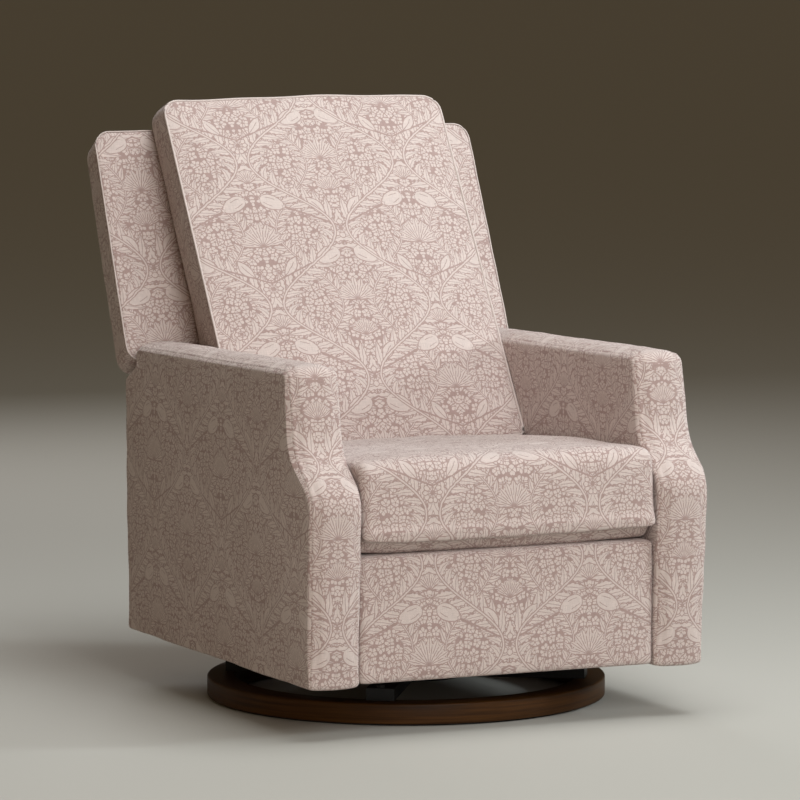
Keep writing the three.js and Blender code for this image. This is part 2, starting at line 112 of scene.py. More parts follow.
def read_normals(piece):
    normals = np.zeros(len(piece.data.vertices) * 3, np.float32)
    piece.data.vertices.foreach_get("normal", normals)
    return normals.reshape(-1, 3).astype(float)


def apply_modifiers(piece):
    depsgraph = bpy.context.evaluated_depsgraph_get()
    mesh = bpy.data.meshes.new_from_object(piece.evaluated_get(depsgraph))
    piece.modifiers.clear()
    piece.data = mesh


def subdivide(piece):
    modifier = piece.modifiers.new("subdivide", "SUBSURF")
    modifier.levels = modifier.render_levels = 1
    modifier.uv_smooth = "NONE"
    apply_modifiers(piece)


def closed_mesh(name, points, faces, face_uvs):
    """A closed piece with every face turned outward."""
    piece = make_mesh(name, points, faces, face_uvs)
    work = bmesh.new()
    work.from_mesh(piece.data)
    bmesh.ops.recalc_face_normals(work, faces=work.faces)
    work.to_mesh(piece.data)
    work.free()
    return piece


def waves(points, wavelength):
    """A fixed sum of waves in several directions, between -1 and 1."""
    directions = np.array(
        [[1.0, 0.3, 0.5], [-0.4, 1.0, 0.8], [0.6, -0.9, 1.0], [0.2, 0.7, -1.0], [-0.9, -0.2, 0.6]]
    )
    total = np.zeros(len(points))
    for i, direction in enumerate(unit(directions)):
        scale = wavelength * (0.7 + 0.22 * i)
        total += np.sin(points @ direction * (2 * math.pi / scale) + 1.7 * i * i)
    return total / len(directions)


def smooth(share):
    """An even start and stop on the way from 0 to 1."""
    return share * share * (3 - 2 * share)


def ripple(points, height, wavelength=0.16):
    """Gentle unevenness of stuffed fabric, with fine puckers on top."""
    return height * waves(points, wavelength) + PUCKER_HEIGHT * waves(points, PUCKER)


def rounded_outline(corners, spacing):
    """Evenly spaced points round a closed outline of (u, v, radius) corners."""
    path = []
    count = len(corners)
    for i, (u, v, radius) in enumerate(corners):
        corner = np.array([u, v])
        before = np.array(corners[i - 1][:2]) - corner
        after = np.array(corners[(i + 1) % count][:2]) - corner
        enter = corner + unit(before) * radius
        leave = corner + unit(after) * radius
        for t in np.linspace(0, 1, 9):
            path.append((1 - t) ** 2 * enter + 2 * t * (1 - t) * corner + t * t * leave)
    path = np.array(path + [path[0]])
    steps = np.linalg.norm(np.diff(path, axis=0), axis=1)
    travelled = np.concatenate([[0], np.cumsum(steps)])
    total = travelled[-1]
    where = np.arange(0, total, total / round(total / spacing))[: round(total / spacing)]
    points = np.stack([np.interp(where, travelled, path[:, k]) for k in (0, 1)], axis=1)
    return points, where, total


def outline_normals(points):
    """Unit normals that point out of a counterclockwise outline."""
    along = unit(np.roll(points, -1, axis=0) - np.roll(points, 1, axis=0))
    return np.stack([along[:, 1], -along[:, 0]], axis=1)


def seam_dip(distance):
    """How far a sewn edge sinks in, at a distance from the seam."""
    return SEAM_DEPTH * np.exp(-((distance / SEAM_WIDTH) ** 2))


def slab_rings(half, edge, across_step, sewn):
    """Rings from one face to the other: inset, x, and share of the way out from the middle."""
    full = np.full(len(edge), half)
    rings = [(edge, full, share) for share in np.linspace(0, 1, FACE_RINGS + 2)[1:-1]]
    for angle in np.radians(np.linspace(0, 90, ROUNDING_RINGS)):
        dip = seam_dip((angle - math.pi / 4) * edge) * math.sqrt(0.5) if sewn else 0
        inset = edge * (1 - math.sin(angle)) + dip
        rings.append((inset, half - edge * (1 - math.cos(angle)) - dip, 1))
    flat = half - edge
    columns = max(2, round(2 * flat.max() / across_step))
    middle = [(0 * edge, flat * t, 1) for t in np.linspace(1, -1, columns + 1)[1:-1]]
    return rings + middle + [(inset, -x, share) for inset, x, share in rings[::-1]]


def slab_faces(points, rows, where, total):
    """The faces between a slab's rings, with flat print on each side and a run on the band."""
    around = len(where)
    first_band = FACE_RINGS + ROUNDING_RINGS // 2
    last_band = rows - first_band - 1
    faces, uvs = [], []
    for r in range(rows - 1):
        here, there = 1 + r * around, 1 + (r + 1) * around
        for j in range(around):
            k = (j + 1) % around
            face = (here + j, here + k, there + k, there + j)
            faces.append(face)
            if first_band <= r < last_band:
                low, high = -where[j], -(where[k] if k else total)
                runs = (low, high, high, low)
                uvs.append([(points[i][0], run) for i, run in zip(face, runs)])
            else:
                uvs.append([(points[i][1], points[i][2]) for i in face])
    last = len(points) - 1
    for j in range(around):
        k = (j + 1) % around
        for face in ((0, 1 + k, 1 + j), (last, last - around + j, last - around + k)):
            faces.append(face)
            uvs.append([(points[i][1], points[i][2]) for i in face])
    return faces, uvs


def slab(name, corners, half, edges, band_crown, around_step, across_step, sewn=True):
    """A padded slab: an outline in (y, z) with thickness along x.

    edges are the radii of the rounding between face and band, at the bottom and further up. A sewn
    slab has a seam in the middle of that rounding. The band swells by its crown, less where the
    edge is sharper. Its print runs along the outline, with a mirror line in its middle.
    """
    outline, where, total = rounded_outline(corners, around_step)
    outward = outline_normals(outline)
    reach = math.ceil(0.9 * max(edges) / around_step)
    inward = -unit(sum(np.roll(outward, k, axis=0) for k in range(-reach, reach + 1)))
    centre = outline.mean(axis=0)
    height = outline[:, 1] - outline[:, 1].min()
    edge = edges[0] + (edges[1] - edges[0]) * smooth(np.clip(height / EDGE_CHANGE, 0, 1))
    crown = band_crown * edge / max(edges)
    rings = slab_rings(half, edge, across_step, sewn)
    points = [np.array([half, *centre])]
    for inset, x, share in rings:
        ring = centre + (outline + inward * inset[:, None] - centre) * share
        swell = crown * (1 - np.minimum(1, np.abs(x) / (half - edge)) ** 4)
        ring = ring + outward * swell[:, None]
        points += [np.array([x[j], *ring[j]]) for j in range(len(outline))]
    points.append(np.array([-half, *centre]))
    return closed_mesh(name, points, *slab_faces(points, len(rings), where, total))


def box_pad(name, size, edge):
    """A closed box of quads with rounded edges, its middle at the origin.

    Returns the piece and each vertex's place in the box, from -1 to 1 along each axis. Each side
    has its own flat print coordinates.
    """
    half = np.array(size) / 2
    cells = np.maximum(2, np.round(np.array(size) / CELL).astype(int))
    index, points, faces, uvs = {}, [], [], []

    def vertex(key):
        if key not in index:
            index[key] = len(points)
            points.append((np.array(key) / cells * 2 - 1) * half)
        return index[key]

    for axis in range(3):
        across, up = [k for k in range(3) if k != axis]
        for end in (0, cells[axis]):
            for i in range(cells[across]):
                for j in range(cells[up]):
                    keys = []
                    for di, dj in ((0, 0), (1, 0), (1, 1), (0, 1)):
                        key = [0, 0, 0]
                        key[axis], key[across], key[up] = end, i + di, j + dj
                        keys.append(tuple(int(n) for n in key))
                    corner = [vertex(key) for key in keys]
                    faces.append(corner)
                    uvs.append([(points[c][across], points[c][up]) for c in corner])
    points = np.array(points)
    place = points / half
    inner = np.clip(points, -(half - edge), half - edge)
    points = inner + unit(points - inner) * edge
    return closed_mesh(name, points, faces, uvs), place


def shift_print(piece, du, dv):
    """Moves a piece's print, so that a motif lands where a cutter would put it."""
    layer = piece.data.uv_layers["cloth"].data
    uv = np.zeros(len(layer) * 2, np.float32)
    layer.foreach_get("uv", uv)
    uv = uv.reshape(-1, 2) + np.array([du, dv], np.float32)
    layer.foreach_set("uv", uv.ravel())


def tube(name, path, radius, sides=10):
    """A closed loop of round piping along a path."""
    path = np.asarray(path)
    count = len(path)
    along = unit(np.roll(path, -1, axis=0) - np.roll(path, 1, axis=0))
    lengths = np.linalg.norm(np.roll(path, -1, axis=0) - path, axis=1)
    travelled = np.concatenate([[0], np.cumsum(lengths)])
    points, faces, uvs = [], [], []
    askew = np.array([0.31, 0.42, 0.85])  # no piping runs this way
    side = unit(np.cross(along, askew))
    normal = np.cross(along, side)
    for i in range(count):
        for k in range(sides):
            angle = 2 * math.pi * k / sides
            spoke = math.cos(angle) * side[i] + math.sin(angle) * normal[i]
            points.append(path[i] + radius * spoke)
    girth = 2 * math.pi * radius
    for i in range(count):
        j = (i + 1) % count
        for k in range(sides):
            m = (k + 1) % sides
            faces.append((i * sides + k, i * sides + m, j * sides + m, j * sides + k))
            v0, v1 = travelled[i], travelled[i + 1]
            u0, u1 = girth * k / sides, girth * (k + 1) / sides
            uvs.append([(u0, v0), (u1, v0), (u1, v1), (u0, v1)])
    return closed_mesh(name, points, faces, uvs)


def lathe(name, profile, sides=160):
    """A ring turned about z, from a closed profile of (radius, height) points."""
    points, faces, uvs = [], [], []
    profile = np.asarray(profile)
    steps = np.linalg.norm(np.roll(profile, -1, axis=0) - profile, axis=1)
    travelled = np.concatenate([[0], np.cumsum(steps)])
    rows = len(profile)
    for i in range(sides):
        angle = 2 * math.pi * i / sides
        for r, z in profile:
            points.append((r * math.cos(angle), r * math.sin(angle), z))
    for i in range(sides):
        j = (i + 1) % sides
        for k in range(rows):
            m = (k + 1) % rows
            faces.append((i * rows + k, j * rows + k, j * rows + m, i * rows + m))
            u0, u1 = i / sides, (i + 1) / sides
            v0, v1 = travelled[k], travelled[k + 1]
            uvs.append([(u0, v0), (u1, v0), (u1, v1), (u0, v1)])
    return closed_mesh(name, points, faces, uvs)


def inflate(piece, held, most, pressure):
    """Puffs a closed piece with cloth simulation, and caps how far a point may move.

    held is each vertex's hold, 1 where the fabric is sewn down and 0 where it is free.
    """
    before = read_points(piece)
    group = piece.vertex_groups.new(name="held")
    for i in np.nonzero(held > 0.01)[0]:
        group.add([int(i)], float(held[i]), "REPLACE")
    modifier = piece.modifiers.new("cloth", "CLOTH")
    settings = modifier.settings
    settings.quality = 6
    settings.mass = 0.3
    settings.tension_stiffness = settings.compression_stiffness = 20
    settings.shear_stiffness = 12
    settings.bending_stiffness = 3
    settings.use_pressure = True
    settings.uniform_pressure_force = pressure
    settings.vertex_group_mass = "held"
    settings.pin_stiffness = 1
    settings.effector_weights.gravity = 0
    modifier.collision_settings.use_collision = False
    modifier.collision_settings.use_self_collision = False
    modifier.point_cache.frame_start = 1
    modifier.point_cache.frame_end = CLOTH_FRAMES
    scene = bpy.context.scene
    for step in range(1, CLOTH_FRAMES + 1):
        scene.frame_set(step)
    depsgraph = bpy.context.evaluated_depsgraph_get()
    after = read_points(piece.evaluated_get(depsgraph))
    piece.modifiers.clear()
    piece.vertex_groups.clear()
    scene.frame_set(1)
    move = after - before
    length = np.linalg.norm(move, axis=1, keepdims=True)
    move *= np.minimum(1, most / np.maximum(length, 1e-9))
    write_points(piece, before + move)


# -------- node helpers
class Wire:
    """A number that flows between shader nodes, with ordinary arithmetic."""

    def __init__(self, tree, socket):
        self.tree = tree
        self.socket = socket

    def math(self, operation, *others, clamp=False):
        node = self.tree.nodes.new("ShaderNodeMath")
        node.operation = operation
        node.use_clamp = clamp
        for slot, value in zip(node.inputs, (self, *others)):
            if isinstance(value, Wire):
                self.tree.links.new(value.socket, slot)
            else:
                slot.default_value = value
        return Wire(self.tree, node.outputs[0])

    def __add__(self, other):
        return self.math("ADD", other)

    def __sub__(self, other):
        return self.math("SUBTRACT", other)

    def __mul__(self, other):
        return self.math("MULTIPLY", other)

    def __rsub__(self, other):
        return self.math("MULTIPLY_ADD", -1.0, other)

    __radd__ = __add__
    __rmul__ = __mul__

    def __abs__(self):
        return self.math("ABSOLUTE")

    def times_plus(self, factor, extra, clamp=False):
        return self.math("MULTIPLY_ADD", factor, extra, clamp=clamp)

    def sin(self):
        return self.math("SINE")

    def cos(self):
        return self.math("COSINE")

    def least(self, other):
        return self.math("MINIMUM", other)

    def most(self, other):
        return self.math("MAXIMUM", other)

    def wrap(self, low, high):
        return self.math("WRAP", high, low)

    def length(self, other):
        """The length of the vector (self, other)."""
        return self.times_plus(self, other * other).math("SQRT")


def colour(socket, rgb):
    socket.default_value = (*rgb, 1.0)


class Finish:
    """A new material with its Principled shader and a few helpers to build patterns for it.

    roughness is left out where a pattern drives it.
    """

    def __init__(self, name, roughness=0.5, metallic=0.0, sheen=0.0):
        self.material = bpy.data.materials.new(name)
        self.material.use_nodes = True
        self.tree = self.material.node_tree
        self.shader = self.tree.nodes["Principled BSDF"]
        self.shader.inputs["Roughness"].default_value = roughness
        self.shader.inputs["Metallic"].default_value = metallic
        self.shader.inputs["Sheen Weight"].default_value = sheen
        self.shader.inputs["Sheen Roughness"].default_value = 0.5

    def link(self, source, target):
        self.tree.links.new(source.socket if isinstance(source, Wire) else source, target)

    def place(self):
        """The point's place on the object, as three wires in metres."""
        node = self.tree.nodes.new("ShaderNodeTexCoord")
        split = self.tree.nodes.new("ShaderNodeSeparateXYZ")
        self.link(node.outputs["Object"], split.inputs[0])
        return [Wire(self.tree, output) for output in split.outputs]

    def print_place(self):
        """The point's place on the flat cloth, as two wires in millimetres."""
        node = self.tree.nodes.new("ShaderNodeUVMap")
        node.uv_map = "cloth"
        split = self.tree.nodes.new("ShaderNodeSeparateXYZ")
        self.link(node.outputs[0], split.inputs[0])
        return [Wire(self.tree, split.outputs[k]) * 1000.0 for k in (0, 1)]

    def noise(self, x, y, z=None, detail=2.0, roughness=0.5):
        join = self.tree.nodes.new("ShaderNodeCombineXYZ")
        for value, slot in zip((x, y, z), join.inputs):
            if value is not None:
                self.link(value, slot)
        node = self.tree.nodes.new("ShaderNodeTexNoise")
        node.inputs["Scale"].default_value = 1.0
        node.inputs["Detail"].default_value = detail
        node.inputs["Roughness"].default_value = roughness
        self.link(join.outputs[0], node.inputs["Vector"])
        return Wire(self.tree, node.outputs["Fac"])

    def even_noise(self, scale, detail=2.0):
        """Noise over the object, scale features to the metre."""
        x, y, z = self.place()
        return self.noise(x * scale, y * scale, z * scale, detail=detail)

    def mix(self, share, low, high):
        """Mixes two colours; each is an (r, g, b) or an output socket."""
        node = self.tree.nodes.new("ShaderNodeMix")
        node.data_type = "RGBA"
        self.link(share, node.inputs["Factor"])
        for value, slot in ((low, node.inputs[6]), (high, node.inputs[7])):
            if isinstance(value, tuple):
                colour(slot, value)
            else:
                self.link(value, slot)
        return node.outputs[2]

    def tint(self, base, level):
        """Multiplies a colour by a wire."""
        node = self.tree.nodes.new("ShaderNodeVectorMath")
        node.operation = "SCALE"
        self.link(base, node.inputs[0])
        self.link(level, node.inputs["Scale"])
        return node.outputs[0]

    def bump(self, height, distance):
        node = self.tree.nodes.new("ShaderNodeBump")
        node.inputs["Distance"].default_value = distance
        self.link(height, node.inputs["Height"])
        self.link(node.outputs[0], self.shader.inputs["Normal"])

    def base(self, socket):
        self.link(socket, self.shader.inputs["Base Color"])


# -------- leaf print
PRINT_SOFTNESS_MM = 0.65  # over which a printed edge fades
TOOTH_MM = 3.4  # from one tooth to the next along a leaf


def paint(pale, inside, outline=1.3):
    """Prints a pale shape with a dark outline over what is there; inside is the depth into it."""
    keep = inside.times_plus(-1 / PRINT_SOFTNESS_MM, -outline / PRINT_SOFTNESS_MM, clamp=True)
    body = inside.times_plus(1 / PRINT_SOFTNESS_MM, 0.0, clamp=True)
    return pale.times_plus(keep, body)


def vein(inside, distance, width=0.8):
    """Takes a line out of a shape; distance is how far a point is from the line's middle."""
    return inside.least(distance - width / 2)


def cells(finish, a, v, size, feature):
    """An even scatter of points over the cloth: where a point is, and what Voronoi says there."""
    point = finish.tree.nodes.new("ShaderNodeCombineXYZ")
    finish.link(a * (1 / size), point.inputs[0])
    finish.link(v * (1 / size), point.inputs[1])
    node = finish.tree.nodes.new("ShaderNodeTexVoronoi")
    node.voronoi_dimensions = "2D"
    node.feature = feature
    node.inputs["Scale"].default_value = 1.0
    node.inputs["Randomness"].default_value = 0.75
    finish.link(point.outputs[0], node.inputs["Vector"])
    return point.outputs[0], node.outputs


def florets(finish, a, v, size):
    """Small five-petalled flowers that fill the ground, a thin line apart."""
    tree = finish.tree
    point, nearest = cells(finish, a, v, size, "F1")
    border = cells(finish, a, v, size, "DISTANCE_TO_EDGE")[1]["Distance"]
    offset = tree.nodes.new("ShaderNodeVectorMath")
    offset.operation = "SUBTRACT"
    finish.link(point, offset.inputs[0])
    finish.link(nearest["Position"], offset.inputs[1])
    parts = tree.nodes.new("ShaderNodeSeparateXYZ")
    finish.link(offset.outputs[0], parts.inputs[0])
    x, y = Wire(tree, parts.outputs[0]), Wire(tree, parts.outputs[1])
    radius = Wire(tree, nearest["Distance"])
    tone = tree.nodes.new("ShaderNodeSeparateColor")
    finish.link(nearest["Color"], tone.inputs[0])
    turn = Wire(tree, tone.outputs[0]) * 6.0
    petals = y.math("ARCTAN2", x).times_plus(5.0, turn).cos()
    inside = (petals * 0.10 + 0.56 - radius) * size
    inside = inside.least(Wire(tree, border).times_plus(size, -0.7))
    inside = inside.least((radius - 0.09) * size)
    return vein(inside, (petals + 1.0) * radius * size * 1.1, 0.9)


def frond(stem, count, reach, width, lean, shift=0.0):
    """Toothed leaves on both sides of a winding stem, count pairs to a repeat of the print."""
    pitch = stem.length / count
    out = abs(stem.out)
    along = (stem.along - out * lean + shift).wrap(-pitch / 2, pitch / 2)
    ratio = (out * (1 / reach)).least(1.0)
    bulge = (ratio.math("POWER", 0.6) * math.pi).sin()
    teeth = (out * (math.pi / TOOTH_MM)).sin() * 0.12 + 1.0
    inside = (bulge * teeth * (width / 2) - abs(along)).least(reach - out)
    return vein(inside, abs(along), 0.8)


def palmette(x, y, leaves, reach, opening):
    """A spread of round-ended leaves from one point, about the +y direction."""
    radius = x.length(y)
    angle = x.math("ARCTAN2", y)
    step = opening / leaves
    local = angle.wrap(-step / 2, step / 2)
    tip = (local * local).times_plus(-1.5 * reach / step**2, reach) - abs(angle) * (reach * 0.13)
    inside = tip - radius
    inside = inside.least((step / 2 - abs(local)) * radius - 0.45)
    inside = inside.least((opening / 2 - abs(angle)) * radius)
    return vein(inside, (abs(local) * radius).most(tip * 0.45 - radius), 0.7)


def rosette(x, y, radius, petals):
    """A flower head with two rings of petals and a seeded middle."""
    r = x.length(y)
    angle = y.math("ARCTAN2", x)
    wave = (angle * (petals / 2)).cos()
    inside = abs(wave) * (radius * 0.22) + radius * 0.78 - r
    inside = vein(inside, abs(wave) * r * (2 / petals), 0.9)
    ring = abs((angle * (petals / 2)).sin()) * (radius * 0.14) + radius * 0.42
    inside = vein(inside, abs(ring - r), 1.0)
    return vein(inside, abs(r - radius * 0.2), 0.9)


def turned(x, y, middle, turn):
    """Coordinates along and across a shape that stands turned on the cloth."""
    c, s = math.cos(turn), math.sin(turn)
    dx, dy = x - middle[0], y - middle[1]
    return dx.times_plus(c, dy * s), dy.times_plus(c, dx * -s)


def broad_leaf(x, y, middle, turn, length, width):
    """A bent plain leaf with a midrib."""
    p, q = turned(x, y, middle, turn)
    q = q + p * p * (0.10 / length)
    k = p * (1 / length)
    inside = (k * k).times_plus(-1.0, 1.0) * width - abs(q)
    return vein(inside, abs(q).most(p - length * 0.45), 0.7)


def gourd(x, y, middle, turn, length, width):
    """A large plain fruit with a calyx at its end and a few curved lines."""
    p, q = turned(x, y, middle, turn)
    k = p * (1 / length)
    girth = (k * k).times_plus(-1.0, 1.0).most(0.0).math("SQRT") * width
    inside = girth * (k * 0.22 + 1.0) - abs(q)
    line = abs(abs(q) - girth * 0.55)
    inside = vein(inside, line.most(abs(p - length * 0.3) - length * 0.35), 0.6)
    calyx = abs(p.times_plus(-1.0, -length * 0.74) - abs((q * (math.pi / 7.0)).sin()) * 3.5)
    return vein(inside, calyx, 0.8)


class Stem:
    """A stem that winds up the cloth, with each point's distance from it and along it."""

    def __init__(self, a, b, swing, middle):
        turn = 2 * math.pi / PRINT_HEIGHT_MM
        steepest = swing * turn
        steps = [math.hypot(1, steepest * math.sin(math.pi * k / 24)) for k in range(24)]
        mean = sum(steps) / len(steps)
        rate = (b * turn).sin() * -steepest
        square = (rate * rate + 1.0).math("INVERSE_SQRT")
        across = a - (b * turn).cos().times_plus(swing, middle)
        self.out = across * square
        foot = (self.out * rate).times_plus(square, b)
        self.along = foot * mean - (foot * (2 * turn)).sin() * ((steps[12] - 1) / 4 / turn)
        self.length = mean * PRINT_HEIGHT_MM


def foliage(finish, u, v):
    """A mirrored print of leaves and flowers; returns how much of the pale tone shows.

    Each motif is painted over those before it, at a place in one repeat of the print.
    """
    half = PRINT_WIDTH_MM / 2
    a = u.math("PINGPONG", half)
    b = v.wrap(0.0, PRINT_HEIGHT_MM)
    pale = florets(finish, a, v, 15.0).times_plus(1 / PRINT_SOFTNESS_MM, 0.0, clamp=True)
    twig = Stem(a, b, -half * 0.30, half / 2)
    pale = paint(pale, frond(twig, 22, 21.0, 12.5, 0.8, 5.0))
    pale = paint(pale, 1.1 - abs(twig.out), 0.9)
    stem = Stem(a, b, half * 0.42, half / 2)
    pale = paint(pale, frond(stem, 18, 32.0, 17.5, 0.9))
    motifs = [
        palmette(a, b - 4.0, 9, 46.0, 3.1),
        palmette(a - half, b - 122.0, 9, 50.0, 3.0),
        palmette(a, b - 232.0, 7, 34.0, 2.4),
        palmette(a - half, b - 254.0, 5, 30.0, 2.0),
        rosette(a, b - 150.0, 19.0, 8),
        rosette(a - half, b - 36.0, 18.0, 10),
        rosette(a - 78.0, b - 252.0, 12.0, 6),
        gourd(a, b, (38.0, 96.0), 2.75, 25.0, 15.5),
        gourd(a, b, (118.0, 212.0), 0.45, 24.0, 14.0),
        broad_leaf(a, b, (36.0, 200.0), 0.95, 24.0, 9.5),
        broad_leaf(a, b, (112.0, 78.0), 2.2, 22.0, 9.0),
    ]
    for motif in motifs:
        pale = paint(pale, motif)
    return paint(pale, 1.7 - abs(stem.out), 1.1)


# -------- finishes
CREAM = (0.615, 0.515, 0.475)  # the print's pale tone
ROSE = (0.365, 0.250, 0.225)  # its ground
PLAIN = (0.63, 0.535, 0.495)  # the piping's lightest tone
PLY = 0.003  # two plies of the timber
YARN_MM = 0.9
PRINT_WANDER_MM = 2.4  # unevenness of the printed lines


def fabric_finish(printed=True):
    """Slubbed linen-cotton cloth, with a tone-on-tone leaf print or in the plain pale tone."""
    finish = Finish("printed_linen" if printed else "plain_linen", roughness=0.9, sheen=0.2)
    u, v = finish.print_place()
    if printed:
        wander = finish.noise(u * 0.11, v * 0.11, detail=1.0)
        shift = wander.times_plus(PRINT_WANDER_MM, -PRINT_WANDER_MM / 2)
        pale = foliage(finish, u + shift, v - shift)
        worn = finish.noise(u * 0.35, v * 0.35, detail=3.0)
        pale = (pale * 0.92 + worn * 0.16).math("SUBTRACT", 0.04, clamp=True)
        cloth = finish.mix(pale, ROSE, CREAM)
    else:
        cloth = finish.mix(finish.noise(u, v), CREAM, PLAIN)
    slub = finish.noise(u * 1.1, v * 0.07, detail=2.0)
    weft = finish.noise(u * 0.06, v * 1.3, detail=2.0)
    finish.base(finish.tint(cloth, (slub + weft) * 0.44 + 0.56))
    turn = 2 * math.pi / YARN_MM
    weave = (u * turn).sin() * (v * turn).sin()
    finish.bump(weave * 0.35 + slub + weft, distance=0.3 * MM)
    return finish.material


def wood_finish():
    """Walnut-stained ring, its grain running round."""
    finish = Finish("walnut")
    finish.shader.inputs["Specular IOR Level"].default_value = 0.14
    x, y, z = finish.place()
    radius = x.length(y)
    grain = finish.noise(x * 5.0, y * 5.0, (z + radius) * 170.0, detail=4.0, roughness=0.6)
    pores = finish.noise(x * 26.0, y * 26.0, (z + radius) * 900.0, detail=2.0)
    share = grain.times_plus(1.9, -0.45, clamp=True)
    tone = finish.mix(share, (0.018, 0.0066, 0.0013), (0.074, 0.029, 0.0058))
    finish.base(finish.tint(tone, pores * 0.5 + 0.75))
    finish.link(grain * 0.18 + 0.42, finish.shader.inputs["Roughness"])
    finish.bump(pores + grain * 0.6, distance=0.15 * MM)
    return finish.material


def timber_finish():
    """Raw plywood with thin plies."""
    finish = Finish("plywood", roughness=0.75)
    x, y, z = finish.place()
    grain = finish.noise(x * 60.0, y * 8.0, z * 60.0, detail=3.0)
    plies = (z * (2 * math.pi / PLY)).sin() * 0.06 + 0.97
    tone = finish.mix(grain, (0.42, 0.27, 0.14), (0.66, 0.47, 0.28))
    finish.base(finish.tint(tone, plies))
    finish.bump(grain, distance=0.2 * MM)
    return finish.material


def powder_coat_finish():
    """Black powder-coated steel with a fine orange-peel surface and rubbed patches."""
    finish = Finish("black_powder_coat")
    finish.shader.inputs["Specular IOR Level"].default_value = 0.3
    peel = finish.even_noise(900.0, detail=1.0)
    rubbed = finish.even_noise(14.0, detail=4.0)
    finish.base(finish.mix(rubbed, (0.004, 0.004, 0.0045), (0.013, 0.0127, 0.0125)))
    finish.link(rubbed * 0.25 + 0.36, finish.shader.inputs["Roughness"])
    finish.bump(peel, distance=0.08 * MM)
    return finish.material


def zinc_finish():
    """Zinc-plated steel with brushed streaks and a little bloom."""
    finish = Finish("zinc_plate", metallic=0.95)
    x, y, z = finish.place()
    streak = finish.noise(x * 30.0, y * 900.0, z * 900.0, detail=2.0)
    bloom = finish.even_noise(45.0, detail=3.0)
    finish.base(finish.mix(bloom, (0.34, 0.34, 0.35), (0.62, 0.61, 0.60)))
    finish.link(streak * 0.3 + 0.2, finish.shader.inputs["Roughness"])
    finish.bump(streak, distance=0.05 * MM)
    return finish.material


def rubber_finish():
    """Matt rubber with a fine speckle."""
    finish = Finish("rubber", roughness=0.85)
    speckle = finish.even_noise(700.0)
    finish.base(finish.mix(speckle, (0.012, 0.012, 0.012), (0.035, 0.034, 0.033)))
    finish.bump(speckle, distance=0.15 * MM)
    return finish.material


def plastic_finish():
    """Moulded plastic with a fine leather grain."""
    finish = Finish("moulded_plastic")
    grain = finish.even_noise(1200.0)
    haze = finish.even_noise(40.0)
    finish.base(finish.mix(haze, (0.030, 0.026, 0.024), (0.045, 0.040, 0.037)))
    finish.link(haze * 0.2 + 0.4, finish.shader.inputs["Roughness"])
    finish.bump(grain, distance=0.1 * MM)
    return finish.material


finishes = {
    "print_fabric": fabric_finish(),
    "dark_wood": wood_finish(),
    "timber": timber_finish(),
    "black_steel": powder_coat_finish(),
    "zinc": zinc_finish(),
    "rubber": rubber_finish(),
    "plastic": plastic_finish(),
}
finishes["piping"] = fabric_finish(printed=False)
slot_of_node = {row["node"]: row["material_slot"] for row in frame["record"]["subparts"]}
body_of_node = {
    node: body for body, nodes in frame["record"]["behaviour"]["bodies"].items() for node in nodes
}


def dress(piece, body, slot, *nodes, finish=None):
    """Gives a piece its finish and its body, and hides the CAD nodes that it stands for."""
    piece.data.materials.clear()
    piece.data.materials.append(finishes[finish or slot])
    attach(piece, body)
    if nodes:
        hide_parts(*nodes)
    return piece


def dress_cad_nodes():
    for name, node in frame["nodes"].items():
        node.data.materials.clear()
        node.data.materials.append(finishes[slot_of_node[name]])


# -------- seat and arms
ARM_EDGES = (0.005, 0.012)  # radii, at the bottom and further up
ARM_SETBACK = 0.008  # of the arm's front at its bottom, behind its CAD solid's knee
ARM_HEM = 0.002  # how far the cover hangs below the solid
ARM_LEAN = 0.017  # how far the front leans forward, up to its knee
ARM_TUCK = 0.004  # how far the outer side comes in towards the floor
ARM_STEP = 0.063  # how far its upper front stands back from its lower front
ARM_KNEE = 0.336  # heights above the arm's bottom
ARM_NECK = 0.399
ARM_REAR_NOTCH = (0.470, 0.498)  # under the back's wing
ARM_SWELL = (0.007, 0.001)  # of its outer side and its inner side
ARM_CROWN = 0.006
FOOTREST_WIDER = 0.0025  # than its CAD solid, on each side
FOOTREST_LOWER = 0.004  # top edge, under the seat cushion's
FOOTREST_FORWARD = 0.008  # the padding over the solid's front
FOOTREST_HEM = 0.006  # how far the cover hangs below the solid
SEAT_EDGES = (0.014, 0.016)
SEAT_STRIP = 0.018  # height of the strip sewn under the front of the seat cushion
SEAT_PROUD = 0.005  # how far the cushion's front stands past its CAD solid
SEAT_WIDER = 0.004  # than its CAD solid, on each side


